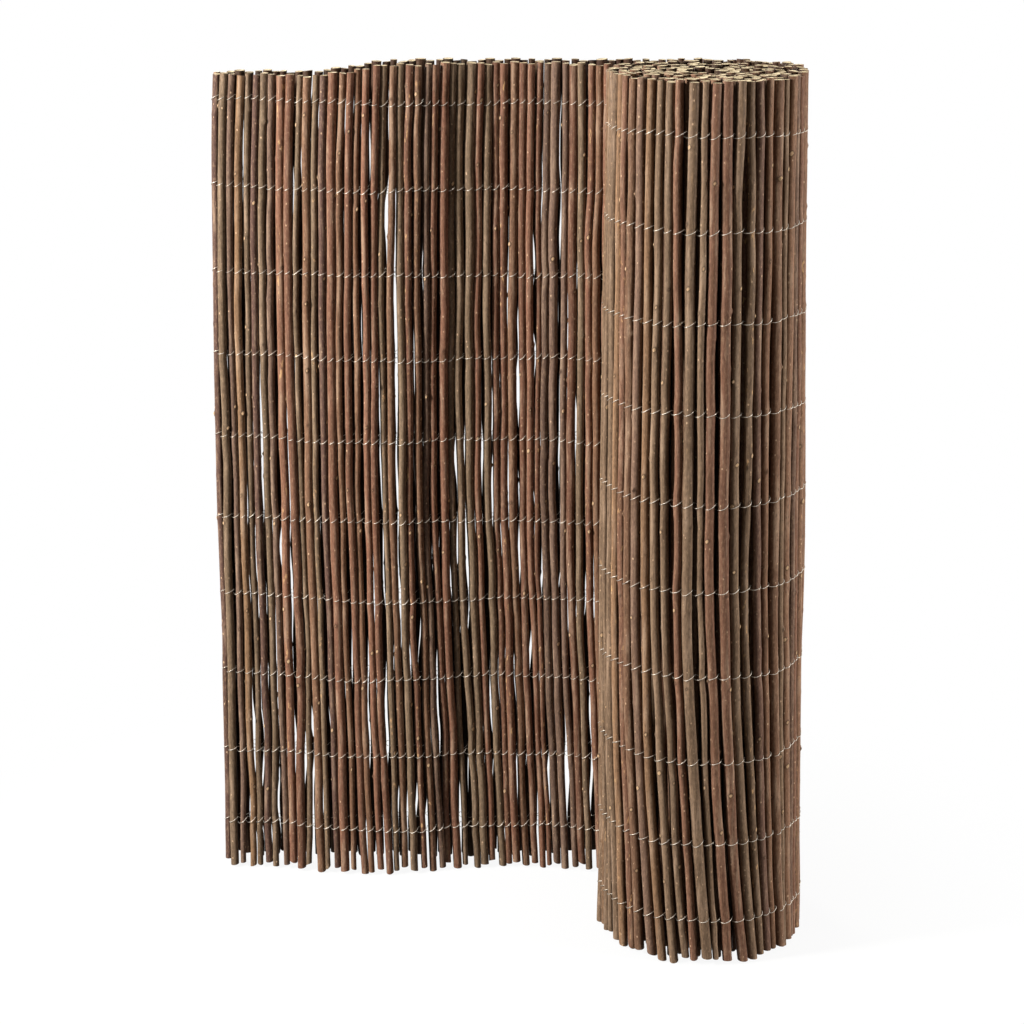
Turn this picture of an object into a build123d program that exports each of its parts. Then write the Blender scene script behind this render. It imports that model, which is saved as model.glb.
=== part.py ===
from build123d import *
import math
import os

# A willow screening mat, one metre high, partly unrolled and standing on its rod ends.
# Seen from above, the free end is tucked in behind the roll. From there the front panel runs left,
# the mat turns back on itself, the back panel runs right and sweeps round into the roll.
# All lengths are millimetres and all angles are degrees.

# Rods
rod_length = 1000.0
thin_rod = 8.2
thick_rod = 12.4
thin_roll_rod = 10.4
thick_roll_rod = 14.2
rod_neck = 3.2        # thickness where two neighbouring rods press together
end_scatter = 9.0     # how unevenly the rods of the two panels were cut

# Plan of the mat, along the middle of its rods
wave_length = 340.0   # the front panel is one and a half shallow waves long
wave_swing = 16.0     # how far the waves turn it out of line
layer_spacing = 32.0  # front panel to back panel at the left bend
end_inset = 10.0      # the free end stops this far short of the sweep
sweep_radius = 150.0
sweep_run = 45.0
roll_diameter = 228.0
core_diameter = 30.0
turn_clearance = 0.6

# Binding wire
wire_rows = 10
wire_diameter = 1.1
wire_from_end = 50.0
wire_seat = 0.3
wire_turn = 27.0      # a wire takes a bend in straight runs of at most this turn

# Gaps where light shows between two rods
gap_width = 4.4
gap_height = 190.0
gap_from_end = 14.0
front_gap_step = 1    # every neck of the front panel has one gap
back_gap_step = 2     # and every second neck of the back panel

# Each rod is six-sided, with a flat on the outer face of the mat
flat_height = math.sqrt(3) / 2
panel_half = flat_height * thick_rod / 2
roll_half = flat_height * thick_roll_rod / 2
turn_spacing = 2 * roll_half + turn_clearance
roll_radius = roll_diameter / 2 - roll_half
row_spacing = (rod_length - 2 * wire_from_end) / (wire_rows - 1)

# The plan is a chain of straight and round legs, each with its length and its turn to the left
wave_reach = math.sin(math.radians(wave_swing)) / math.radians(wave_swing)
front_legs = [
    (wave_length / 4, -wave_swing),
    (wave_length / 2, 2 * wave_swing),
    (wave_length / 2, -2 * wave_swing),
    (wave_length / 4, wave_swing),
]
front_length = sum(length for length, turn in front_legs)
half_turns = int((roll_radius - core_diameter / 2) / (turn_spacing / 2))
roll_legs = [
    (math.pi * (roll_radius - half_turn * turn_spacing / 2), -180.0)
    for half_turn in range(half_turns)
]
stretches = {
    "front": front_legs,
    "bend": [(math.pi * layer_spacing / 2, -180.0)],
    "back": [(front_length * wave_reach + end_inset, 0.0)],
    "sweep": [(math.pi * sweep_radius / 2, -90.0), (sweep_run, 0.0)],
    "outer turn": roll_legs[:2],
    "inner turns": roll_legs[2:],
}
in_roll = ("outer turn", "inner turns")


def along(x, y, heading, distance, length, turn):
    """Point and heading at a distance along a leg that starts at x, y."""
    start = math.radians(heading)
    curvature = math.radians(turn) / length
    if curvature == 0:
        return x + distance * math.cos(start), y + distance * math.sin(start), heading
    end = start + curvature * distance
    x += (math.sin(end) - math.sin(start)) / curvature
    y -= (math.cos(end) - math.cos(start)) / curvature
    return x, y, math.degrees(end)


def beside(x, y, heading, ahead, outward):
    """Point ahead along the mat and outward from its middle line."""
    angle = math.radians(heading)
    return (
        x + ahead * math.cos(angle) - outward * math.sin(angle),
        y + ahead * math.sin(angle) + outward * math.cos(angle),
    )


def scatter(index, series):
    """Values from 0 to 1 that are spread evenly but follow no order."""
    golden = (math.sqrt(5) - 1) / 2
    return (golden * index + math.sqrt(2) * series) % 1


def rod_radius(index, stretch):
    """Radius of a rod: thicker rods are in the roll."""
    thin, thick = (thin_roll_rod, thick_roll_rod) if stretch in in_roll else (thin_rod, thick_rod)
    return (thin + (thick - thin) * scatter(index, 0)) / 2


def lay_legs(x, y):
    """Legs of the plan with their starting points, from the free end at x, y."""
    place = (x, y, 180.0)
    legs = []
    for stretch, stretch_legs in stretches.items():
        for length, turn in stretch_legs:
            legs.append((stretch, place, length, turn))
            place = along(*place, length, length, turn)
    return legs


def wire_line(legs, clear):
    """A wire's line in plan: straight runs that clear the rods' flats all along the outer face."""
    points = [beside(*legs[0][1], 0, panel_half + clear)]
    for stretch, start, length, turn in legs:
        outward = clear + (roll_half if stretch in in_roll else panel_half)
        pieces = math.ceil(abs(turn) / wire_turn)
        steps = [(piece + 0.5) / pieces for piece in range(pieces)]
        if turn < 0:
            radius = -length / math.radians(turn)
            outward = (radius + outward) / math.cos(math.radians(turn / pieces / 2)) - radius
        elif turn > 0:
            steps = [piece / pieces for piece in range(pieces + 1)]
        if stretch != "inner turns":
            points += [beside(*along(*start, step * length, length, turn), 0, outward) for step in steps]
    # The last point would lie where the roll goes in behind the sweep
    return points[:-1]


def lay_rods(legs):
    """Rods one after another along the legs, each touching the one before."""
    rods = []
    radius = rod_radius(0, "front")
    station = radius
    for stretch, start, length, turn in legs:
        while station < length:
            rods.append((stretch, *along(*start, station, length, turn), radius))
            next_radius = rod_radius(len(rods), stretch)
            station += radius + next_radius
            radius = next_radius
        station -= length
    return rods


def middle(values):
    return (min(values) + max(values)) / 2


# The origin is under the middle of the mat's own box, which its wires reach
wire_inside = wire_seat
wire_outside = wire_seat + wire_diameter
box_points = wire_line(lay_legs(0, 0), wire_outside)
legs = lay_legs(-middle([x for x, y in box_points]), -middle([y for x, y in box_points]))
rods = lay_rods(legs)


def members(*names):
    """Numbers of the rods in the named stretches."""
    return [index for index, rod in enumerate(rods) if rod[0] in names]


def neck_point(index, outward):
    """Point in the neck between a rod and the next one."""
    _, x1, y1, heading1, _ = rods[index]
    _, x2, y2, heading2, _ = rods[index + 1]
    return beside((x1 + x2) / 2, (y1 + y2) / 2, (heading1 + heading2) / 2, 0, outward)


def wall_outline(numbers):
    """Outline of a wall of rods: out along its outer face and home along its inner face."""
    outer = []
    inner = []
    for index in numbers:
        stretch, x, y, heading, radius = rods[index]
        height = flat_height * radius
        if index == 0:
            outer.append(beside(x, y, heading, -radius, 0))
        elif index == numbers[0]:
            outer.append(neck_point(index - 1, rod_neck / 2))
            inner.append(neck_point(index - 1, -rod_neck / 2))
        if stretch == "inner turns":
            outer.append(beside(x, y, heading, 0, height))
            if index % 2:
                inner.append(beside(x, y, heading, 0, -rod_neck))
        else:
            outer.append(beside(x, y, heading, -radius / 2, height))
            outer.append(beside(x, y, heading, radius / 2, height))
            inner.append(beside(x, y, heading, 0, -height))
        if index == len(rods) - 1:
            outer.append(beside(x, y, heading, radius, 0))
        else:
            outer.append(neck_point(index, rod_neck / 2))
            if stretch != "inner turns":
                inner.append(neck_point(index, -rod_neck / 2))
    return outer + inner[::-1]


def comb(numbers, end, beyond, series):
    """Outline of the waste that is cut from the uneven ends of a panel's rods."""
    points = []
    for index in numbers:
        _, x, _, heading, radius = rods[index]
        before = neck_point(index - 1, 0)[0] if index else beside(x, 0, heading, -radius, 0)[0]
        after = neck_point(index, 0)[0]
        level = end + (end - beyond) * scatter(index, series)
        points += [(before, level), (after, level)]
    return [(points[0][0], beyond)] + points + [(points[-1][0], beyond)]


def gap_places(numbers, step):
    """Middles of the gaps in a panel, one in a neck and more of them low down."""
    lowest = gap_from_end + gap_height / 2
    reach = rod_length - 2 * lowest
    return [(neck_point(index, 0)[0], lowest + reach * scatter(index, 2) ** 2) for index in numbers[::step]]


os.makedirs("parts", exist_ok=True)
bottom_cut = (0, -end_scatter, 1)
top_cut = (rod_length, rod_length + end_scatter, 3)
half_gap = (gap_width / 2, gap_height / 2)
gap_corners = [(0, -half_gap[1]), (half_gap[0], 0), (0, half_gap[1]), (-half_gap[0], 0)]

# Front panel: a wall of ridges with gaps and uneven ends
front_rods = members("front")
with BuildPart() as front_panel:
    with BuildSketch():
        with BuildLine():
            Polyline(*wall_outline(front_rods), close=True)
        make_face()
    extrude(amount=rod_length)
    with BuildSketch(Plane.XZ):
        for end, beyond, series in (bottom_cut, top_cut):
            with BuildLine():
                Polyline(*comb(front_rods, end, beyond, series), close=True)
            make_face()
        with Locations(*gap_places(front_rods, front_gap_step)):
            Polygon(*gap_corners)
    extrude(amount=rod_length, both=True, mode=Mode.SUBTRACT)
front_panel.part.label = "rods_front_panel"
export_step(front_panel.part, "parts/rods_front_panel.step")

# Left bend: the few rods where the mat turns back on itself
with BuildPart() as left_bend:
    with BuildSketch():
        with BuildLine():
            Polyline(*wall_outline(members("bend")), close=True)
        make_face()
    extrude(amount=rod_length)
left_bend.part.label = "rods_left_bend"
export_step(left_bend.part, "parts/rods_left_bend.step")

# Back panel: as the front panel, with fewer gaps
back_rods = members("back")
with BuildPart() as back_panel:
    with BuildSketch():
        with BuildLine():
            Polyline(*wall_outline(back_rods), close=True)
        make_face()
    extrude(amount=rod_length)
    with BuildSketch(Plane.XZ):
        for end, beyond, series in (bottom_cut, top_cut):
            with BuildLine():
                Polyline(*comb(back_rods, end, beyond, series), close=True)
            make_face()
        with Locations(*gap_places(back_rods, back_gap_step)):
            Polygon(*gap_corners)
    extrude(amount=rod_length, both=True, mode=Mode.SUBTRACT)
back_panel.part.label = "rods_back_panel"
export_step(back_panel.part, "parts/rods_back_panel.step")

# Right sweep: the quarter round from the back panel to the roll
with BuildPart() as right_sweep:
    with BuildSketch():
        with BuildLine():
            Polyline(*wall_outline(members("sweep")), close=True)
        make_face()
    extrude(amount=rod_length)
right_sweep.part.label = "rods_right_sweep"
export_step(right_sweep.part, "parts/rods_right_sweep.step")

# Roll: every turn in one spiral wall, with its inner turns plain on their hidden face
with BuildPart() as roll:
    with BuildSketch():
        with BuildLine():
            Polyline(*wall_outline(members(*in_roll)), close=True)
        make_face()
    extrude(amount=rod_length)
roll.part.label = "rods_roll"
export_step(roll.part, "parts/rods_roll.step")

# Binding wire: one row above another, all round the outer face of the mat
wire_outline = wire_line(legs, wire_inside) + wire_line(legs, wire_outside)[::-1]
for row in range(wire_rows):
    name = f"binding_wire_{row + 1:02d}"
    height = wire_from_end + row * row_spacing - wire_diameter / 2
    with BuildPart() as binding_wire:
        with BuildSketch(Plane.XY.offset(height)):
            with BuildLine():
                Polyline(*wire_outline, close=True)
            make_face()
        extrude(amount=wire_diameter)
    binding_wire.part.label = name
    export_step(binding_wire.part, f"parts/{name}.step")
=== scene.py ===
# %% [markdown]
# # A willow screening mat, half unrolled
# A screening mat is a row of upright willow rods with their bark on, tied side by side by rows of twined
# wire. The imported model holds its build: each stretch of the mat is one ridged wall, one ridge a rod, and
# each wire row is one band. This lesson keeps that frame and dresses it: every ridge becomes a crooked rod
# with knots and cut ends, and every band becomes two strands that twist round the rods.

# %% Load the fixed frame
import math

import bpy
import numpy as np
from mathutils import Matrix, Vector


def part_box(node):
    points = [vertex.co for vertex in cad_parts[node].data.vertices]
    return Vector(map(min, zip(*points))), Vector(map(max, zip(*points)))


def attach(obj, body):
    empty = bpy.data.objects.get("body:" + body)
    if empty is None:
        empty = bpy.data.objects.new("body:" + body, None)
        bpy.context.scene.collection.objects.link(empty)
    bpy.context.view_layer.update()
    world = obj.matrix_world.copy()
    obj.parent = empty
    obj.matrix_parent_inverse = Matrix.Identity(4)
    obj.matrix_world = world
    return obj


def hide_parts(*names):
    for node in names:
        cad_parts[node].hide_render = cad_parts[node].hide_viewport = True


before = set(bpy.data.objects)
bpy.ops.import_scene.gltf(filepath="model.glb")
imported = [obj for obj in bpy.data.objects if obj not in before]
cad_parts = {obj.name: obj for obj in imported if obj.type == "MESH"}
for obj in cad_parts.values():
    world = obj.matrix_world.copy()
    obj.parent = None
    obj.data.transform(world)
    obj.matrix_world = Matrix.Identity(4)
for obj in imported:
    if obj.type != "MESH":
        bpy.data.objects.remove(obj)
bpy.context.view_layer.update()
mm = 0.001

# %% [markdown]
# ## The plan
# Seen from above, the free end is tucked in behind the roll. The front panel runs left in shallow waves,
# the mat turns back on itself, and the back panel runs right and sweeps round into the roll. The same chain
# of straight and round legs is laid here as in the solids, so a rod stands where its ridge stands. One
# number, the distance along the mat, then says where a rod is: to lean a rod is to slide it along the mat.

# %% Lay the legs of the plan
rod_length = 1000 * mm
wave_length = 340 * mm
wave_swing = math.radians(16)
layer_spacing = 32 * mm
end_inset = 10 * mm
sweep_radius = 150 * mm
sweep_run = 45 * mm
roll_diameter = 228 * mm
core_diameter = 30 * mm
turn_clearance = 0.6 * mm
panel_rod_sizes = (8.2 * mm, 12.4 * mm)  # thinnest and thickest
roll_rod_sizes = (10.4 * mm, 14.2 * mm)

flat_height = math.sqrt(3) / 2
roll_half = flat_height * roll_rod_sizes[1] / 2
turn_spacing = 2 * roll_half + turn_clearance
roll_radius = roll_diameter / 2 - roll_half
half_turns = int((roll_radius - core_diameter / 2) / (turn_spacing / 2))
wave_reach = math.sin(wave_swing) / wave_swing
front_length = 1.5 * wave_length
roll_legs = [
    (math.pi * (roll_radius - half_turn * turn_spacing / 2), -math.pi)
    for half_turn in range(half_turns)
]
stretches = {
    "front": [
        (wave_length / 4, -wave_swing),
        (wave_length / 2, 2 * wave_swing),
        (wave_length / 2, -2 * wave_swing),
        (wave_length / 4, wave_swing),
    ],
    "bend": [(math.pi * layer_spacing / 2, -math.pi)],
    "back": [(front_length * wave_reach + end_inset, 0)],
    "sweep": [(math.pi * sweep_radius / 2, -math.pi / 2), (sweep_run, 0)],
    "outer turn": roll_legs[:2],
    "inner turns": roll_legs[2:],
}
legs = [(stretch, length, turn) for stretch, parts in stretches.items() for length, turn in parts]
leg_names = [stretch for stretch, _, _ in legs]
leg_lengths = np.array([length for _, length, _ in legs])
leg_ends = np.cumsum(leg_lengths)
leg_starts = leg_ends - leg_lengths
leg_curves = np.array([turn / length for _, length, turn in legs])
leg_headings = math.pi + np.concatenate([[0], np.cumsum(leg_curves * leg_lengths)[:-1]])
print("mat length:", round(leg_ends[-1], 3), "m in", len(legs), "legs")


# %% Place the legs in the frame
def chord(curve, heading, distance):
    """Steps in X and Y to a point at a distance along a leg, which may be straight or round."""
    half_turn = curve * distance / 2
    reach = distance * np.sinc(half_turn / math.pi)
    return reach * np.cos(heading + half_turn), reach * np.sin(heading + half_turn)


leg_steps = np.array(chord(leg_curves, leg_headings, leg_lengths))
leg_corners = np.concatenate([np.zeros((2, 1)), np.cumsum(leg_steps, axis=1)], axis=1)[:, :-1]

# The frame gives the place: the front panel's right end, and the middle of the straight back panel
free_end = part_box("rods_front_panel")[1].x
back_low, back_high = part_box("rods_back_panel")
back_leg = leg_names.index("back")
leg_corners[0] += free_end
leg_corners[1] += (back_low.y + back_high.y) / 2 - leg_corners[1, back_leg]


def place(station):
    """Plan X, plan Y and heading at distances along the mat from its free end."""
    leg = np.minimum(np.searchsorted(leg_ends, station), len(legs) - 1)
    distance = station - leg_starts[leg]
    step_x, step_y = chord(leg_curves[leg], leg_headings[leg], distance)
    heading = leg_headings[leg] + leg_curves[leg] * distance
    return leg_corners[0, leg] + step_x, leg_corners[1, leg] + step_y, heading


print("free end at x:", round(free_end, 3), "m")

# %% [markdown]
# ## The rods
# The rods are laid one after another, each touching the one before, with the same uneven thicknesses as the
# ridges. A ridge stands for the room that a rod takes up in the wire; the rod itself is a little thinner,
# which leaves the dark lines between neighbours.

# %% Lay the rods along the plan
golden = (math.sqrt(5) - 1) / 2


def scatter(index, series):
    """Values from 0 to 1 that are spread evenly but follow no order."""
    return (golden * index + math.sqrt(2) * series) % 1


def ridge_radius(index, stretch):
    """Radius of a rod's ridge: thicker rods are in the roll."""
    thin, thick = roll_rod_sizes if stretch in ("outer turn", "inner turns") else panel_rod_sizes
    return (thin + (thick - thin) * scatter(index, 0)) / 2


rod_stretch = []
rod_station = []
ridges = []
radius = ridge_radius(0, "front")
station = radius
for (stretch, length, _), leg_start in zip(legs, leg_starts):
    while station < length:
        rod_stretch.append(stretch)
        rod_station.append(leg_start + station)
        ridges.append(radius)
        next_radius = ridge_radius(len(ridges), stretch)
        station += radius + next_radius
        radius = next_radius
    station -= length
rod_count = len(ridges)
rod_stretch = np.array(rod_stretch)
rod_station = np.array(rod_station)
ridges = np.array(ridges)
print({stretch: int((rod_stretch == stretch).sum()) for stretch in stretches})

# %% [markdown]
# ## How the rods stand
# No willow rod is straight. Each one wanders a few millimetres on its way up, tapers from butt to tip, and
# is held in line only where a wire row ties it. All of that is kept as plain arrays, one row a rod and one
# column a level, because neighbours have to make room for each other and that is easy with arrays.

# %% Let the rods taper
rng = np.random.default_rng(1905)
levels = np.linspace(0, rod_length, 101)
in_panel = np.isin(rod_stretch, ("front", "back", "bend"))
fatness_range = {  # thickness of a rod as a share of its ridge
    "front": (0.72, 0.97), "bend": (0.84, 0.98), "back": (0.88, 1.0),
    "sweep": (0.78, 0.97), "outer turn": (0.64, 0.92), "inner turns": (0.82, 0.92),
}
taper_range = (0.02, 0.14)
panel_taper = 0.08  # most rods of the panels stand thick end up, so light comes through low down
true_height = 0.6   # share of the height where a rod has its own thickness
fatness = np.array([rng.uniform(*fatness_range[stretch]) for stretch in rod_stretch])
taper = rng.choice([-1, 1], rod_count) * rng.uniform(*taper_range, rod_count) + panel_taper * in_panel
radii = (ridges * fatness)[:, None] * (1 + taper[:, None] * (levels / rod_length - true_height))
print("rods:", round(2 * radii.min() / mm, 1), "to", round(2 * radii.max() / mm, 1), "mm thick")

# %% Let the rods wander
row_spacing = 100 * mm
row_heights = np.arange(row_spacing / 2, rod_length, row_spacing)
tie_reach = 16 * mm
tie_hold = 0.5
tied = np.exp(-((levels[:, None] - row_heights) / tie_reach) ** 2).sum(axis=1)


def wander(size, spacing):
    """Smooth offsets up every rod, from random pushes that stand one spacing apart."""
    knots = np.arange(-spacing, rod_length + 2 * spacing, spacing)
    weights = np.exp(-0.5 * ((levels[:, None] - knots) / (0.55 * spacing)) ** 2)
    weights /= weights.sum(axis=1, keepdims=True)
    return size * rng.standard_normal((rod_count, len(knots))) @ weights.T


sideways = (wander(1.8 * mm, 300 * mm) + wander(1.1 * mm, 80 * mm)) * (1 - tie_hold * tied)
outward = wander(1.2 * mm, 240 * mm) + wander(0.5 * mm, 60 * mm)

# Rods inside the roll are held by the turns on both sides of them, and the outer turn lies on those
inner_give = 0.15
outer_sink = 0.3 * mm
outer_rods = rod_stretch == "outer turn"
outward[rod_stretch == "inner turns"] *= inner_give
outward[outer_rods] = np.maximum(outward[outer_rods], -outer_sink)
print("widest wander:", round(float(np.abs(sideways).max()) / mm, 1), "mm")

# %% [markdown]
# ## The view
# The camera comes before the rods are moved any further, because light only shows where a gap in the front
# panel and one in the back panel lie on the same line of sight. It stands well back and a little above the
# mat, with a long lens, so that upright rods stay nearly parallel.

# %% Set the camera that the lines of sight start from
camera_place = np.array([14 * mm, -2681.5 * mm, 1293 * mm])
camera_pitch = math.radians(16.54)
camera_data = bpy.data.cameras.new("camera")
camera_data.lens = 85
camera_data.sensor_width = 36
camera = bpy.data.objects.new("camera", camera_data)
camera.location = camera_place
camera.rotation_euler = (math.pi / 2 - camera_pitch, 0, 0)
bpy.context.scene.collection.objects.link(camera)
bpy.context.scene.camera = camera
print("camera:", np.round(camera_place, 3), "m")

# %% [markdown]
# ## Lean and gaps
# Near the ground the rods of the front panel drift to the right, and more so towards the roll. The roll's
# front has sheared the same way. In each neck of the front panel the rods bow apart where the solids have
# their gap. A lean grows towards the ground and a bow swells at one height, and both are added to the same
# distances along the mat.

# %% Lean the rods
front_lean, front_lean_height = 18 * mm, 500 * mm
back_lean_range, back_lean_height = (-3 * mm, 6 * mm), 250 * mm
roll_shear, roll_shear_height = 24 * mm, 470 * mm
roll_flare, roll_flare_height = 3 * mm, 120 * mm
shear_starts = (math.radians(5), math.radians(80))  # angles round the roll
shear_stops = (3.3, 5.5)
start_of = {stretch: leg_starts[leg_names.index(stretch)] for stretch in stretches}


def low_down(height, power):
    """Grows from 0 at a height to 1 at the ground."""
    return np.clip(1 - levels / height, 0, 1) ** power


def fade(values, start, end):
    """Grows smoothly from 0 at start to 1 at end."""
    share = np.clip((values - start) / (end - start), 0, 1)
    return share * share * (3 - 2 * share)


# Distance along the mat grows to the left on the outer face, so a lean to the right is a minus
stations = rod_station[:, None] + sideways
near_roll = fade(np.clip(1 - rod_station / front_length, 0, 1), -0.1, 0.6)
lean = np.where(rod_stretch == "front", front_lean * near_roll, 0)
stations -= lean[:, None] * low_down(front_lean_height, 1.4)
lean = np.where(rod_stretch == "back", rng.uniform(*back_lean_range, rod_count), 0)
stations -= lean[:, None] * low_down(back_lean_height, 1.3)

round_roll = (rod_station - start_of["outer turn"]) / roll_radius
sheared = fade(round_roll, *shear_starts) * (1 - fade(round_roll, *shear_stops))
sheared *= rod_stretch == "outer turn"
stations -= (roll_shear * sheared)[:, None] * low_down(roll_shear_height, 1.5)
outward += (roll_flare * sheared)[:, None] * low_down(roll_flare_height, 1.5)
print("lean of the panel:", round(front_lean / mm), "mm, shear of the roll:", round(roll_shear / mm), "mm")

# %% Bow the rods apart at the gaps
gap_height = 190 * mm
gap_from_end = 14 * mm
bow_range = (0.4, 1.2)  # in millimetres, to each side
bow_reach = 18 * mm
neck_reach = 6 * mm


def swell(height, half_height):
    """Rises smoothly to 1 at a height and is 0 beyond half a height from it."""
    share = np.clip(np.abs(levels - height) / half_height, 0, 1)
    return np.cos(share * math.pi / 2) ** 2


def close_by(away, reach):
    """1 for the two rods at a neck, fading over a reach for those beyond."""
    return np.exp(-np.maximum(np.abs(away) - neck_reach, 0) / reach)


lowest_gap = gap_from_end + gap_height / 2
front_rods = np.flatnonzero(rod_stretch == "front")
for neck in front_rods:
    middle = (rod_station[neck] + rod_station[neck + 1]) / 2
    height = lowest_gap + (rod_length - 2 * lowest_gap) * scatter(neck, 2) ** 2
    away = np.where(rod_stretch == "front", rod_station - middle, np.inf)
    push = np.sign(away) * close_by(away, bow_reach)
    stations += rng.uniform(*bow_range) * mm * push[:, None] * swell(height, gap_height / 2)
print("gaps in the front panel:", len(front_rods))

# %% [markdown]
# ## Making room
# Pushed about like this, some rods would run into their neighbours. Physical rods cannot, so each pair that
# is too close is eased apart by half the overlap each, over and over, until the whole row has settled.

# %% Ease the rods apart
pressed = 0.97  # how close the wire may press two rods, as a share of where they would touch
settling_rounds = 160


def settle():
    """Eases rods that are too close apart and gives the overlap that is left."""
    need = pressed * (radii[:-1] + radii[1:])
    for _ in range(settling_rounds):
        overlap = np.clip(need - np.diff(stations, axis=0), 0, None) / 2
        stations[:-1] -= overlap
        stations[1:] += overlap
    return float(overlap.max())


print("overlap left:", round(settle() / mm, 2), "mm")

# %% [markdown]
# ## Windows
# A gap in the front panel only shows light if the back panel is open behind it too. So each gap is followed
# from the camera through to the back panel, and where a neck of the back panel happens to lie close to that
# line, its rods are moved over and apart, which makes a short bright window. The mat is more open near the
# ground and in a few places higher up.

# %% Follow a gap through to the back panel
window_reach = 24 * mm
back_rods = np.flatnonzero(rod_stretch == "back")
back_y = leg_corners[1, back_leg]
level_step = levels[1]


def neck_lines(first, second):
    """Middles and widths of the necks between rods and their next ones, up the levels."""
    left, right = stations[first] + radii[first], stations[second] - radii[second]
    return (left + right) / 2, right - left


def open_window(neck, low, high, half_height, width):
    """Shifts that open the back panel behind a front neck, from low to high where that takes least."""
    front_middle, front_width = neck_lines(neck, neck + 1)
    x, y, _ = place(front_middle)
    reach = (back_y - camera_place[1]) / (y - camera_place[1])
    behind = start_of["back"] + camera_place[0] + (x - camera_place[0]) * reach - leg_corners[0, back_leg]
    behind_height = camera_place[2] + (levels - camera_place[2]) * reach
    behind_level = np.clip(np.rint(behind_height / level_step).astype(int), 0, len(levels) - 1)
    back_middles, _ = neck_lines(back_rods[:-1], back_rods[1:])
    miss = back_middles[:, behind_level] - behind
    nearest = np.abs(miss).argmin(axis=0)
    miss = miss[nearest, np.arange(len(levels))]
    out_of_bounds = np.where((levels >= low) & (levels <= high), 0, 1)
    best = int((np.abs(miss) - front_width + out_of_bounds).argmin())
    from_neck = stations[:, behind_level[best]] - behind[best] - miss[best]
    away = np.where(rod_stretch == "back", from_neck, np.inf)
    push = width / 2 * np.sign(away) - miss[best]
    return (push * close_by(away, window_reach))[:, None] * swell(behind_height[best], half_height)


print("rods in the back panel:", len(back_rods))

# %% Open the windows
low_span = (15 * mm, 170 * mm)
span_height = 120 * mm
half_heights = (40, 80)  # both in millimetres
window_widths = (1.0, 2.6)
open_places = [  # plan X, height and reach
    (-173 * mm, 920 * mm, 60 * mm),
    (52 * mm, 780 * mm, 50 * mm),
    (52 * mm, 620 * mm, 80 * mm),
    (-20 * mm, 480 * mm, 70 * mm),
    (-150 * mm, 290 * mm, 60 * mm),
    (-60 * mm, 300 * mm, 60 * mm),
    (75 * mm, 330 * mm, 70 * mm),
]
window_count = 0
for neck in front_rods[:-1]:
    neck_x = float(place(np.array([rod_station[neck]]))[0][0])
    anywhere = 30 * mm + 800 * mm * rng.random() ** 1.3
    spans = [low_span, (anywhere, anywhere + span_height)]
    spans += [
        (height - reach, height + reach)
        for x, height, reach in open_places if abs(neck_x - x) < reach
    ]
    for low, high in spans:
        half_height = rng.uniform(*half_heights) * mm
        width = rng.uniform(*window_widths) * mm
        stations += open_window(neck, low, high, half_height, width)
        window_count += 1
print("windows:", window_count, "overlap left:", round(settle() / mm, 2), "mm")

# %% [markdown]
# ## Splay
# The wire rows near the top are drawn tighter than those near the foot, so the whole mat splays downwards:
# the panel's left edge draws in at the top, the roll is thicker at the foot and stands a little askew, and
# both panels step forward on the ground.

# %% Spread the foot of the mat
roll_axis = leg_corners[:, leg_names.index("outer turn")] - [roll_radius, 0]
panel_left, panel_still = -340 * mm, 100 * mm
still_height = 350 * mm
edge_in, edge_out = 14 * mm, 4.5 * mm
foot_step = 14 * mm
step_fades_from = start_of["back"] + 300 * mm
roll_at_foot, roll_at_top = 1.056, 0.966
roll_foot_shift, roll_top_shift = 7 * mm, -6 * mm
roll_bow = 2 * mm


def stand(station, out, height):
    """Plan X and Y of a point out from the mat's middle line, at a height of the splayed mat."""
    x, y, heading = place(station)
    x = x - np.sin(heading) * out
    y = y + np.cos(heading) * out
    share = height / rod_length
    with_roll = fade(station, start_of["sweep"], start_of["outer turn"])
    growth = roll_at_foot + (roll_at_top - roll_at_foot) * share ** 1.5 - 1
    shift = roll_foot_shift + (roll_top_shift - roll_foot_shift) * share - roll_bow * 4 * share * (1 - share)
    above = np.clip((height - still_height) / (rod_length - still_height), 0, 1)
    below = np.clip(1 - height / still_height, 0, 1)
    drawn = edge_in * above ** 3 - edge_out * below ** 1.5
    at_left = np.clip((panel_still - x) / (panel_still - panel_left), 0, 1) * (1 - with_roll)
    on_panels = 1 - fade(station, step_fades_from, start_of["sweep"])
    new_x = x + with_roll * (growth * (x - roll_axis[0]) + shift) + at_left * drawn
    new_y = y + with_roll * growth * (y - roll_axis[1]) - on_panels * foot_step * below ** 1.5
    return new_x, new_y


plan_x, plan_y = stand(stations, outward, levels)
out_angles = place(stations)[2] + math.pi / 2
print("roll axis:", np.round(roll_axis, 3))

# %% [markdown]
# ## The form of one rod
# A willow rod is a tube that swells a little at each bud, every five to ten centimetres, with a bud scar or
# a cut side shoot on one side. Its ends were sawn or clipped, rarely square. Rings of points are stacked
# up the rod, closer at the buds, and joined by faces. A curve with a bevel would be shorter to write, but
# it could not carry the buds and the slanted ends.

# %% Find the heights of a rod's buds and rings
ring_step = 11 * mm
end_step = 7 * mm
bud_reach = 4 * mm


def bud_heights(low, high):
    """Heights of a rod's buds."""
    heights = low + rng.uniform(20, 70) * mm + np.cumsum(rng.uniform(45, 110, 24)) * mm
    return heights[heights < high - 3 * end_step]


def ring_heights(low, high, buds, step):
    """Heights of a rod's rings: one at each bud and on both its sides, and evenly between."""
    stops = [low, low + end_step]
    for bud in buds:
        stops += [bud - bud_reach, bud, bud + bud_reach]
    stops += [high - end_step, high]
    runs = [
        np.linspace(start, end, math.ceil((end - start) / step), endpoint=False)
        for start, end in zip(stops, stops[1:])
    ]
    return np.concatenate(runs + [[high]])


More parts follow.
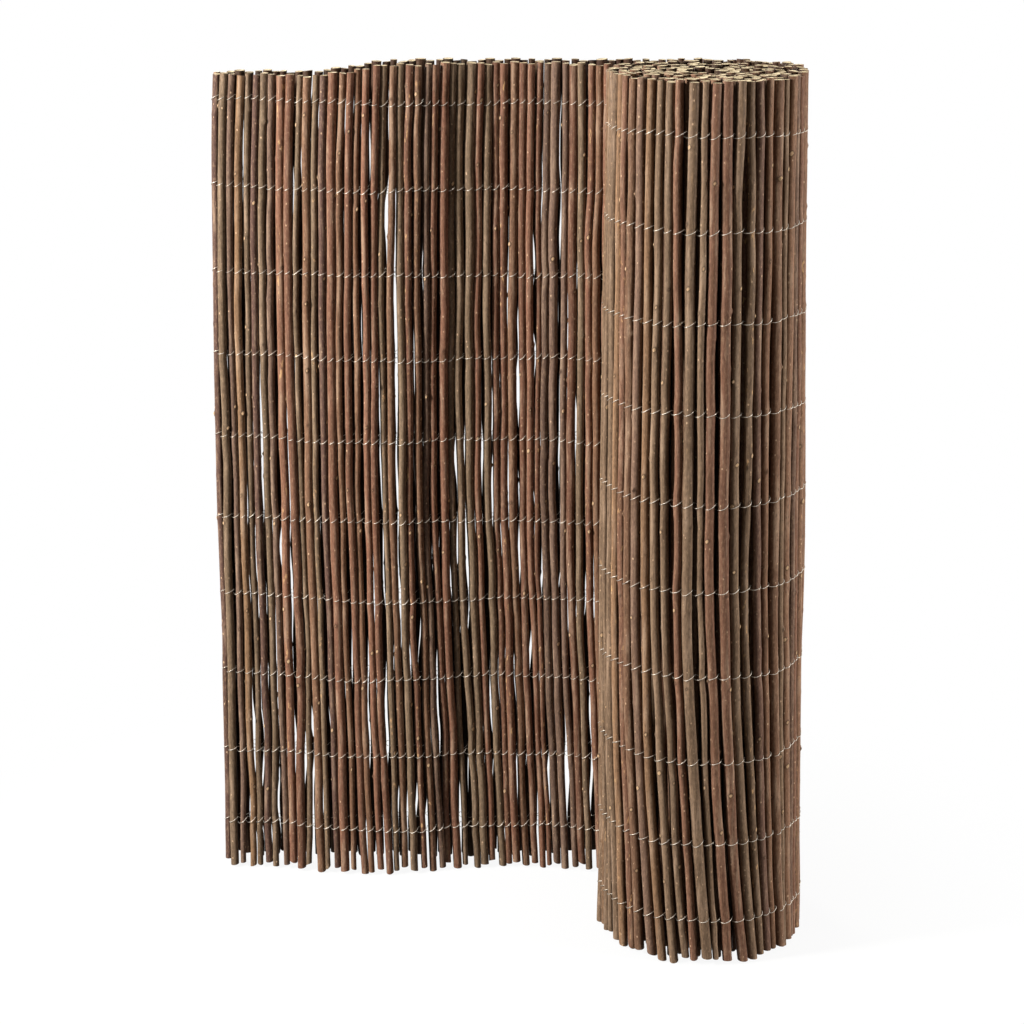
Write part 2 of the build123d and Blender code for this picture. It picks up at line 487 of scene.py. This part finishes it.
# %% Cut the ends of a rod
foot_slant, top_slant = 12, 5  # degrees that a cut usually leans, and the most it can
steepest_slant = 42
cut_roughness = 0.8  # in millimetres
half_way_share = 0.55


def slanted_end(across, along, usual_slant):
    """Drop of a cut end's points below its highest one, for a cut that is rarely square."""
    slant = math.radians(min(abs(rng.normal(0, usual_slant)), steepest_slant))
    facing = rng.uniform(0, 2 * math.pi)
    rise = math.tan(slant) * (across * math.cos(facing) + along * math.sin(facing))
    return np.max(rise) - rise


def cut_ends(rings):
    """Slants a rod's first and last ring, and gives the points inside their rims and the end faces."""
    ring_count, sides, _ = rings.shape
    end_points = []
    end_faces = []
    for ring, sign, usual_slant in ((0, 1, foot_slant), (ring_count - 1, -1, top_slant)):
        # The rim, a ring half way in and the pith, all on one slanted cut
        rim = rings[ring]
        pith = rim.mean(axis=0)
        half_way = pith + half_way_share * (rim - pith)
        cut = np.concatenate([rim, half_way, pith[None]])
        offsets = cut - pith
        cut[:, 2] += sign * slanted_end(offsets[:, 0], offsets[:, 1], usual_slant)
        cut[sides:, 2] += sign * rng.uniform(0, cut_roughness, sides + 1) * mm
        rings[ring] = cut[:sides]
        base = ring_count * sides + len(end_points) * (sides + 1)
        end_points.append(cut[sides:])
        for side in range(sides):
            here, there = ring * sides + side, ring * sides + (side + 1) % sides
            half_here, half_there = base + side, base + (side + 1) % sides
            outer = (here, half_here, half_there, there)
            inner = (half_here, base + sides, half_there)
            end_faces += [outer, inner] if sign > 0 else [outer[::-1], inner[::-1]]
    return end_points, end_faces


# %% Make the mesh of one rod
oval = 0.03
bud_swelling = (0.02, 0.08)  # share of the rod's radius
usual_knob, side_shoot = (0.3, 1.3), (1.4, 2.4)  # in millimetres
usual_share = 0.85
# Painted shade on each rod: it grows from where the flank turns inward to where its neighbours hide it
painted_shade_span = (-0.5, 0.3)  # from where a rod's flank turns inward to where its neighbours hide it


def rod_mesh(index, low, high, sides, step, with_buds):
    """Points, faces and surface values of one rod."""
    buds = bud_heights(low, high) if with_buds else np.array([])
    heights = ring_heights(low, high, buds, step)
    centre_x = np.interp(heights, levels, plan_x[index])
    centre_y = np.interp(heights, levels, plan_y[index])
    girth = np.interp(heights, levels, radii[index])
    angles = np.arange(sides) * 2 * math.pi / sides
    reach = np.repeat(girth[:, None], sides, axis=1)
    reach *= 1 + oval * np.cos(2 * angles + rng.uniform(0, 6))
    bud_glow = np.zeros_like(reach)
    for bud in buds:
        near = np.exp(-((heights - bud) / (0.7 * bud_reach)) ** 2)
        facing = angles[rng.integers(sides)]
        front = np.clip(np.cos(angles - facing), 0, 1) ** 8
        knob = rng.uniform(*(usual_knob if rng.random() < usual_share else side_shoot)) * mm
        reach += near[:, None] * (rng.uniform(*bud_swelling) * girth[:, None] + knob * front)
        bud_glow = np.maximum(bud_glow, near[:, None] * front * rng.uniform(0.3, 1))
    faces_out = np.cos(angles - np.interp(heights, levels, out_angles[index])[:, None])
    rings = np.stack([
        centre_x[:, None] + reach * np.cos(angles),
        centre_y[:, None] + reach * np.sin(angles),
        np.repeat(heights[:, None], sides, axis=1),
    ], axis=2)
    ring_start = np.arange(len(heights) - 1)[:, None] * sides
    here = ring_start + np.arange(sides)
    beside = ring_start + (np.arange(sides) + 1) % sides
    side_faces = np.stack([here, beside, beside + sides, here + sides], axis=2).reshape(-1, 4)
    end_points, end_faces = cut_ends(rings)
    none_at_ends = np.zeros(2 * (sides + 1))
    end_from_pith = np.concatenate([np.full(sides, 0.5), [0.0]])
    return {
        "points": np.concatenate([rings.reshape(-1, 3)] + end_points),
        "side_faces": side_faces.tolist(),
        "end_faces": end_faces,
        "bud": np.concatenate([bud_glow.ravel(), none_at_ends]),
        # Painted shade: the flanks and the inner face, which look away from the mat's outer side, are marked
        # to be darkened
        "painted_shade": np.concatenate([fade(-faces_out, *painted_shade_span).ravel(), none_at_ends]),
        "from_pith": np.concatenate([np.ones(reach.size), end_from_pith, end_from_pith]),
    }


# %% [markdown]
# ## Colour
# Colours are written as they are seen on a screen, as sRGB hex values, and one function turns them to the
# linear values that Blender computes with. Willow bark is not one colour: red brown, olive, grey, golden and
# a few dark plum rods stand side by side, with more of the red ones in the panels. Each rod carries its own
# colour as an attribute of its points, so one material serves them all.

# %% Choose each rod's own colour
def linear(hex_colour):
    """Linear red, green and blue of an sRGB hex colour."""
    channels = [int(hex_colour[digit:digit + 2], 16) / 255 for digit in (1, 3, 5)]
    return [c / 12.92 if c <= 0.04045 else ((c + 0.055) / 1.055) ** 2.4 for c in channels]


bark_colours = {  # colour, and its share of the rods in the panels and in the roll, in percent
    "red brown": ("#7e5643", 42, 26),
    "brown": ("#825f48", 26, 26),
    "olive brown": ("#74624d", 11, 22),
    "grey brown": ("#6d574a", 9, 14),
    "golden brown": ("#86674a", 4, 6),
    "plum": ("#58413a", 8, 6),
}
panel_calm, roll_calm = 0.15, 0.4  # how far the colours are drawn towards their mean
panel_light, roll_light = 0.95, 1.1
light_range = (0.78, 1.22)
palette = np.array([linear(hex_colour) for hex_colour, _, _ in bark_colours.values()])
panel_shares, roll_shares = np.array([shares for _, *shares in bark_colours.values()]).T / 100
bark_tints = np.where(
    in_panel[:, None],
    palette[rng.choice(len(palette), rod_count, p=panel_shares)],
    palette[rng.choice(len(palette), rod_count, p=roll_shares)],
)
calm = np.where(in_panel, panel_calm, roll_calm)[:, None]
bark_tints += calm * (palette.mean(axis=0) - bark_tints)
bark_tints *= rng.uniform(*light_range, (rod_count, 1)) * np.where(in_panel, panel_light, roll_light)[:, None]
worn = rng.uniform(0, 1, rod_count) ** 3
print("rod colours:", len(palette))

# %% [markdown]
# ## Materials
# One small function adds a node, sets it and links it. Patterns are placed in the object's own metres, so a
# scale is simply one over a real size. A finish is then built up as a painter would do it: a base colour,
# and further colours laid over it where the patterns say.

# %% Add a node
def add_node(tree, kind, inputs=None, **settings):
    """Adds a node with its settings; an input is a value, or another node's output to link."""
    node = tree.nodes.new(kind)
    for name, value in settings.items():
        setattr(node, name, value)
    for name, value in (inputs or {}).items():
        if isinstance(value, bpy.types.NodeSocket):
            tree.links.new(value, node.inputs[name])
        else:
            node.inputs[name].default_value = value
    return node


def new_material(name):
    """An empty node material with its output node."""
    material = bpy.data.materials.new(name)
    material.use_nodes = True
    material.node_tree.nodes.clear()
    return material, material.node_tree, material.node_tree.nodes.new("ShaderNodeOutputMaterial")


def colour(hex_colour):
    """Linear colour with an alpha of 1, as a colour socket takes it."""
    return (*linear(hex_colour), 1)


# %% Lay patterns and colours over each other
def scaled_place(tree, across, along):
    """Places on the mat, scaled so that one unit is a real size across the rod and along it."""
    where = add_node(tree, "ShaderNodeTexCoord").outputs["Object"]
    scale = (1 / across, 1 / across, 1 / along)
    return add_node(tree, "ShaderNodeVectorMath", {0: where, 1: scale}, operation="MULTIPLY").outputs[0]


def clouds(tree, across, along, detail):
    """Soft patches of a real size across and along the rod, from 0 to 1 and mostly near the middle."""
    inputs = {"Vector": scaled_place(tree, across, along), "Scale": 1.0, "Detail": detail, "Roughness": 0.6}
    return add_node(tree, "ShaderNodeTexNoise", inputs).outputs["Fac"]


def lay_colours(tree, base, *layers):
    """Lays colours over a base, each with its strength, where its patterns pass from low to high."""
    for strength, hex_colour, *patterns in layers:
        shown = strength
        for pattern, low, high in patterns:
            bounds = {"Value": pattern, "From Min": low, "From Max": high}
            passed = add_node(tree, "ShaderNodeMapRange", bounds, interpolation_type="SMOOTHSTEP").outputs[0]
            shown = add_node(tree, "ShaderNodeMath", {0: passed, 1: shown}, operation="MULTIPLY").outputs[0]
        inputs = {0: shown, 6: base, 7: colour(hex_colour)}
        base = add_node(tree, "ShaderNodeMix", inputs, data_type="RGBA").outputs[2]
    return base


# %% [markdown]
# ### Willow bark, dried on the rod
# Dried bark is a thin, dusty skin that hardly shines. Up the rod it is streaked, because it shrinks more
# round the rod than along it. It is dotted with cream breathing pores and pale bud scars, and where it was
# knocked it has peeled down to the straw-coloured wood. Shade is painted on the flanks and inner faces,
# where neighbours hide them, as a much darker colour, which draws a dark line between neighbours.

# %% Willow bark: its patterns
willow_bark, tree, output = new_material("willow_bark_dried")
tint = add_node(tree, "ShaderNodeAttribute", attribute_name="bark_tint").outputs["Color"]
bud, wear, painted_shade = [
    add_node(tree, "ShaderNodeAttribute", attribute_name=name).outputs["Fac"]
    for name in ("bud", "worn", "painted_shade")
]
streaks = clouds(tree, 1.6 * mm, 45 * mm, 3)
mottle = clouds(tree, 7 * mm, 70 * mm, 3)
scuffs = clouds(tree, 4 * mm, 14 * mm, 4)
grain = clouds(tree, 1.8 * mm, 5 * mm, 2)

# Breathing pores are under a millimetre; they are drawn a little larger, so that they show
pore_spacing = {"Vector": scaled_place(tree, 5.5 * mm, 8 * mm), "Scale": 1.0}
pores = add_node(tree, "ShaderNodeTexVoronoi", pore_spacing, feature="F1").outputs
pore_draw = add_node(tree, "ShaderNodeSeparateColor", {0: pores["Color"]}).outputs[0]
print("willow bark patterns:", len(tree.nodes), "nodes")

# %% Willow bark: its colours and surface
skin = lay_colours(
    tree, tint,
    # Dark streaks, then pale and dark mottling, then pale and dark grain
    (0.35, "#3b2a22", (streaks, 0.62, 0.38)),
    (0.55, "#a58a72", (mottle, 0.5, 0.72)),
    (0.45, "#54402f", (mottle, 0.46, 0.3)),
    (0.3, "#a98b6e", (grain, 0.52, 0.68)),
    (0.45, "#3a2a20", (grain, 0.45, 0.3)),
    # Some of the pores, then buds with a dark edge and a pale scar, then wood where the bark has peeled
    (0.85, "#cbaa88", (pores["Distance"], 0.2, 0.1), (pore_draw, 0.5, 0.9), (scuffs, 0.38, 0.5)),
    (0.6, "#33231a", (bud, 0.05, 0.3)),
    (0.9, "#c4a27c", (bud, 0.3, 0.6)),
    (0.85, "#c39a6c", (scuffs, 0.62, 0.68), (wear, 0.25, 0.7)),
)
# Painted shade: where a rod's flanks and inner face are hidden, the bark is mixed up to three quarters of the
# way to near black
painted_shade_share = add_node(tree, "ShaderNodeMath", {0: painted_shade, 1: 0.75}, operation="MULTIPLY").outputs[0]
painted_shade_mix = {0: painted_shade_share, 6: skin, 7: colour("#1d130c")}
skin = add_node(tree, "ShaderNodeMix", painted_shade_mix, data_type="RGBA").outputs[2]

relief = add_node(tree, "ShaderNodeMath", {0: streaks, 1: grain}, operation="ADD").outputs[0]
bump = add_node(tree, "ShaderNodeBump", {"Height": relief, "Strength": 0.5, "Distance": 0.4 * mm})
dullness = add_node(tree, "ShaderNodeMapRange", {"Value": mottle, "To Min": 0.42, "To Max": 0.62})
shader = add_node(tree, "ShaderNodeBsdfPrincipled", {
    "Base Color": skin, "Roughness": dullness.outputs[0], "Normal": bump.outputs[0],
    "IOR": 1.47, "Specular IOR Level": 0.08,
})
tree.links.new(shader.outputs[0], output.inputs[0])
print("willow bark:", len(tree.nodes), "nodes")

# %% [markdown]
# ### Sawn willow end
# The cut ends show the wood: pale straw, with a dark pith in the middle and a thin dark line of bark round
# the rim. The saw leaves it rough, so it has no sheen, and weather has greyed some of it.

# %% Sawn willow end
willow_end, tree, output = new_material("willow_end_sawn")
from_pith = add_node(tree, "ShaderNodeAttribute", attribute_name="from_pith").outputs["Fac"]
weather = clouds(tree, 9 * mm, 9 * mm, 3)
saw_marks = clouds(tree, 0.9 * mm, 0.9 * mm, 2)
wood = lay_colours(
    tree, colour("#b39f78"),
    (1.0, "#e2cfa8", (weather, 0.35, 0.65)),
    (0.5, "#7f6847", (saw_marks, 0.5, 0.75)),
    (1.0, "#7a5836", (from_pith, 0.16, 0.05)),
    (1.0, "#5b4433", (from_pith, 0.9, 0.97)),
)
bump = add_node(tree, "ShaderNodeBump", {"Height": saw_marks, "Strength": 0.6, "Distance": 0.5 * mm})
shader = add_node(tree, "ShaderNodeBsdfPrincipled", {
    "Base Color": wood, "Roughness": 0.85, "Normal": bump.outputs[0], "IOR": 1.5,
})
tree.links.new(shader.outputs[0], output.inputs[0])
print("willow end:", len(tree.nodes), "nodes")

# %% [markdown]
# ### Galvanised wire, drawn thin
# The wire was drawn and dipped in zinc. It is metal, but dull: the zinc has a soft grey bloom, so the wire
# shows as a pale line and not as a row of bright sparks.

# %% Galvanised wire
zinc_wire, tree, output = new_material("galvanised_wire_drawn")
bloom = clouds(tree, 3 * mm, 3 * mm, 2)
zinc = lay_colours(tree, colour("#a69b8d"), (1.0, "#d3c9ba", (bloom, 0.35, 0.65)))
dullness = add_node(tree, "ShaderNodeMapRange", {"Value": bloom, "To Min": 0.38, "To Max": 0.55})
shader = add_node(tree, "ShaderNodeBsdfPrincipled", {
    "Base Color": zinc, "Metallic": 0.85, "Roughness": dullness.outputs[0],
})
tree.links.new(shader.outputs[0], output.inputs[0])
print("wire:", len(tree.nodes), "nodes")

# %% [markdown]
# ## Rods into pieces
# Each stretch of rods becomes one piece, in place of the ridged wall that stands for it in the solids. The
# rods of the panels end as unevenly as the ridges do, and the roll stands a little higher than the panels.
# The turns inside the roll show little but their ends, so their rods are plainer.

# %% Find the ends of a rod
cut_scatter = 9 * mm
top_scatter = 3.5 * mm
roll_scatter = 4 * mm
roll_rise = 9 * mm
left_drop = 13 * mm
left_drop_span = (-220 * mm, -110 * mm)


def rod_ends(index):
    """Heights of a rod's two ends: the panels follow the uneven cut of the solids, lower at the left."""
    if in_panel[index]:
        shorter = left_drop * (1 - fade(plan_x[index, -1], *left_drop_span))
        return cut_scatter * scatter(index, 1), rod_length - top_scatter * scatter(index, 3) - shorter
    taller = roll_rise * fade(rod_station[index], start_of["sweep"], start_of["outer turn"])
    return rng.uniform(0, cut_scatter), rod_length + taller - rng.uniform(0, roll_scatter)


# %% Make a piece that stands for nodes of the frame
def set_values(mesh, name, kind, values):
    """Gives the points of a mesh a named value each."""
    attribute = mesh.attributes.new(name, kind, "POINT")
    key = "color" if kind == "FLOAT_COLOR" else "value"
    attribute.data.foreach_set(key, np.asarray(values, dtype=np.float32).ravel())


def make_piece(name, points, faces, materials, nodes):
    """A shaded mesh object that rides on the frame and stands for some of its nodes."""
    mesh = bpy.data.meshes.new(name)
    mesh.from_pydata(points, [], faces)
    mesh.polygons.foreach_set("use_smooth", np.ones(len(faces), dtype=bool))
    for material in materials:
        mesh.materials.append(material)
    piece = bpy.data.objects.new(name, mesh)
    bpy.context.scene.collection.objects.link(piece)
    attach(piece, "root")
    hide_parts(*nodes)
    return piece


# %% Build the rods of each stretch
outer_sides, inner_sides = 12, 10
inner_ring_step = 160 * mm
sharp_edge = math.radians(48)


def build_rods(name, node, names):
    """One piece of all the rods in the named stretches."""
    points, side_faces, end_faces = [], [], []
    values = {"bud": [], "from_pith": [], "painted_shade": [], "worn": []}
    tints = []
    start = 0
    for index in np.flatnonzero(np.isin(rod_stretch, names)):
        low, high = rod_ends(index)
        if rod_stretch[index] == "inner turns":
            rod = rod_mesh(index, low, high, inner_sides, inner_ring_step, with_buds=False)
        else:
            rod = rod_mesh(index, low, high, outer_sides, ring_step, with_buds=True)
        count = len(rod["points"])
        rod["worn"] = np.full(count, worn[index])
        points.append(rod["points"])
        side_faces += [[corner + start for corner in face] for face in rod["side_faces"]]
        end_faces += [[corner + start for corner in face] for face in rod["end_faces"]]
        for value, parts in values.items():
            parts.append(rod[value])
        tints.append(np.tile([*bark_tints[index], 1], (count, 1)))
        start += count
    faces = side_faces + end_faces
    materials = [willow_bark, willow_end]
    mesh = make_piece(name, np.concatenate(points), faces, materials, [node]).data
    is_end = np.arange(len(faces)) >= len(side_faces)
    mesh.polygons.foreach_set("material_index", is_end.astype(np.int32))
    mesh.set_sharp_from_angle(angle=sharp_edge)
    for value, parts in values.items():
        set_values(mesh, value, "FLOAT", np.concatenate(parts))
    set_values(mesh, "bark_tint", "FLOAT_COLOR", np.concatenate(tints))
    mesh.calc_loop_triangles()
    print(name, "triangles:", len(mesh.loop_triangles))


build_rods("front_panel_rods", "rods_front_panel", ["front"])
build_rods("left_bend_rods", "rods_left_bend", ["bend"])
build_rods("back_panel_rods", "rods_back_panel", ["back"])
build_rods("right_sweep_rods", "rods_right_sweep", ["sweep"])
build_rods("roll_rods", "rods_roll", ["outer turn", "inner turns"])

# %% [markdown]
# ## Twined wire
# Each row is two strands. One passes in front of a rod while the other passes behind it, and they change
# places in every neck, so each rod shows one stitch that climbs to the right. The strands are worked out
# from where the rods really stand at that height, and each is swept as a thin tube. No row is quite level:
# all of them wobble, lie higher on the front panel and most so at its left, and the lowest one sits high.

# %% Work out the line of a strand
wire_radius = 0.36 * mm
points_a_rod = 8
curl = 0.4
wired = np.flatnonzero(rod_stretch != "inner turns")


def strand_line(level, side, rise, wobble):
    """Points of one strand along the wired rods at a level; side is 1 where it starts in front."""
    numbers = np.arange(len(wired))
    turns = np.arange(0, len(wired) - 1 + 0.5 / points_a_rod, 1 / points_a_rod)
    nearest = np.rint(turns).astype(int)
    sway = 2 * (turns - nearest)
    facing = side * np.where(nearest % 2, -1, 1)
    along = np.interp(turns, numbers, stations[wired, level])
    out = np.interp(turns, numbers, outward[wired, level])
    girth = radii[wired, level][nearest] + wire_radius
    out = out + facing * girth * (1 - np.abs(sway) ** 3)
    across = -facing * sway
    climb = np.interp(turns, numbers, rise) * (across - curl * (1 - across ** 2))
    x, y = stand(along, out, levels[level])
    return np.stack([x, y, levels[level] + climb + np.interp(turns, numbers, wobble)], axis=1)


print("rods tied by the wire:", len(wired))

# %% Sweep a strand as a thin tube
wire_sides = 5


def sweep_tube(line, first):
    """Points and faces of a thin tube along a line, with its points numbered from first."""
    ahead = np.gradient(line, axis=0)
    ahead /= np.linalg.norm(ahead, axis=1, keepdims=True)
    across = np.cross(ahead, [0, 0, 1])
    across /= np.linalg.norm(across, axis=1, keepdims=True)
    upward = np.cross(across, ahead)
    angles = np.arange(wire_sides) * 2 * math.pi / wire_sides
    ring = across[:, None] * np.cos(angles)[:, None] + upward[:, None] * np.sin(angles)[:, None]
    points = (line[:, None] + wire_radius * ring).reshape(-1, 3)
    ring_start = first + np.arange(len(line) - 1)[:, None] * wire_sides
    here = ring_start + np.arange(wire_sides)
    beside = ring_start + (np.arange(wire_sides) + 1) % wire_sides
    faces = np.stack([here, here + wire_sides, beside + wire_sides, beside], axis=2).reshape(-1, 4).tolist()
    last = first + len(points) - wire_sides
    faces += [list(range(first, first + wire_sides)), list(range(last, last + wire_sides))[::-1]]
    return points, faces


# %% Twine the wire rows
stitch_rise = (1.8, 4.2)  # in millimetres
front_lift, left_lift, foot_lift = 3 * mm, 5 * mm, 5 * mm
slow_wobble, slow_length = 1.3 * mm, 0.37
quick_wobble, quick_length = 0.9 * mm, 0.11
wired_station = rod_station[wired]
swing = wired_station * 2 * math.pi
on_front = 1 - fade(wired_station, front_length, front_length + row_spacing)
to_left = np.clip(wired_station / front_length, 0, 1) ** 2
for row, height in enumerate(row_heights):
    level = int(np.argmin(np.abs(levels - height)))
    rise = rng.uniform(*stitch_rise, len(wired)) * mm
    wobble = slow_wobble * np.sin(swing / slow_length + row * 2.1)
    wobble += quick_wobble * np.sin(swing / quick_length + row * 1.3)
    wobble += on_front * (front_lift + left_lift * to_left) + (foot_lift if row == 0 else 0)
    points, faces = [], []
    for side in (1, -1):
        first = sum(len(part) for part in points)
        strand_points, strand_faces = sweep_tube(strand_line(level, side, rise, wobble), first)
        points.append(strand_points)
        faces += strand_faces
    make_piece(
        f"wire_row_{row + 1:02d}", np.concatenate(points), faces, [zinc_wire],
        [f"binding_wire_{row + 1:02d}"],
    )
print("wire rows:", len(row_heights))

# %% [markdown]
# ## Floor and light
# The mat stands in a white studio. The floor is white paint that keeps the mat's soft shadow close by and
# is plain white to the camera further off. Only the rays that show the background find it white; the light
# that bounces up to the rods finds a darker floor and sky, so the lines between the rods stay dark. The main
# lamp is on the left, well to the side, so that each rod has a bright flank and a dark one. A weaker lamp on
# the right keeps the far side of the roll from going black, one behind does the same for the back, and a
# small one above shows the cut ends.

# %% White studio floor
def shows_background(tree):
    """1 for rays that show the background: from the camera, straight or by way of metal or glass."""
    rays = add_node(tree, "ShaderNodeLightPath").outputs
    shown = rays["Is Camera Ray"]
    for kind in ("Is Glossy Ray", "Is Transmission Ray"):
        shown = add_node(tree, "ShaderNodeMath", {0: shown, 1: rays[kind]}, operation="MAXIMUM").outputs[0]
    return shown


floor_material, tree, output = new_material("white_studio_floor")
where = add_node(tree, "ShaderNodeTexCoord").outputs["Object"]
distance = add_node(tree, "ShaderNodeVectorMath", {0: where}, operation="LENGTH").outputs["Value"]
shadow_fades = {"Value": distance, "From Min": 0.35, "From Max": 0.8, "To Min": 0.92, "To Max": 1.0}
plain = add_node(tree, "ShaderNodeMapRange", shadow_fades, interpolation_type="SMOOTHSTEP").outputs[0]
shown = shows_background(tree)
paint_tones = {0: shown, 6: colour("#4d4b49"), 7: colour("#e4e3e0")}
paint_tone = add_node(tree, "ShaderNodeMix", paint_tones, data_type="RGBA").outputs[2]
paint = add_node(tree, "ShaderNodeBsdfPrincipled", {"Base Color": paint_tone, "Roughness": 0.7}).outputs[0]
white = add_node(tree, "ShaderNodeEmission", {"Color": colour("#ffffff"), "Strength": 1.0}).outputs[0]
whiteness = add_node(tree, "ShaderNodeMath", {0: shown, 1: plain}, operation="MULTIPLY").outputs[0]
shader = add_node(tree, "ShaderNodeMixShader", {0: whiteness, 1: paint, 2: white})
tree.links.new(shader.outputs[0], output.inputs[0])

floor_half = 6.0
corners = [(-floor_half, -floor_half, 0), (floor_half, -floor_half, 0)]
corners += [(floor_half, floor_half, 0), (-floor_half, floor_half, 0)]
floor_mesh = bpy.data.meshes.new("studio_floor")
floor_mesh.from_pydata(corners, [], [(0, 1, 2, 3)])
floor_mesh.materials.append(floor_material)
floor = bpy.data.objects.new("studio_floor", floor_mesh)
bpy.context.scene.collection.objects.link(floor)
print("floor:", 2 * floor_half, "m wide")

# %% Lamps
middle_of_mat = (0, 0, 0.5)
lamps = {  # place, aim, size in metres and power in watts
    "left_softbox": ((-2.05, -0.8, 1.4), middle_of_mat, 0.3, 128),
    "right_fill": ((3.0, -0.9, 1.1), middle_of_mat, 0.6, 98),
    "back_fill": ((-1.2, 2.8, 1.5), middle_of_mat, 1.0, 70),
    "top_light": ((0.1, -0.1, 2.6), (0.1, 0, 1), 0.6, 20),
}
for name, (location, aim, size, power) in lamps.items():
    lamp_data = bpy.data.lights.new(name, "AREA")
    lamp_data.size = size
    lamp_data.energy = power
    lamp = bpy.data.objects.new(name, lamp_data)
    lamp.location = location
    lamp.rotation_euler = (Vector(aim) - Vector(location)).to_track_quat("-Z", "Y").to_euler()
    bpy.context.scene.collection.objects.link(lamp)
print("lamps:", ", ".join(lamps))

# %% White world
world = bpy.data.worlds.new("white_studio")
bpy.context.scene.world = world
world.use_nodes = True
tree = world.node_tree
tree.nodes.clear()
output = tree.nodes.new("ShaderNodeOutputWorld")
dim_sky = {"Value": shows_background(tree), "To Min": 0.01, "To Max": 1.0}
strength = add_node(tree, "ShaderNodeMapRange", dim_sky).outputs[0]
sky = add_node(tree, "ShaderNodeBackground", {"Color": colour("#ffffff"), "Strength": strength})
tree.links.new(sky.outputs[0], output.inputs[0])
bpy.context.scene.view_settings.view_transform = "Standard"
print("world:", len(tree.nodes), "nodes")
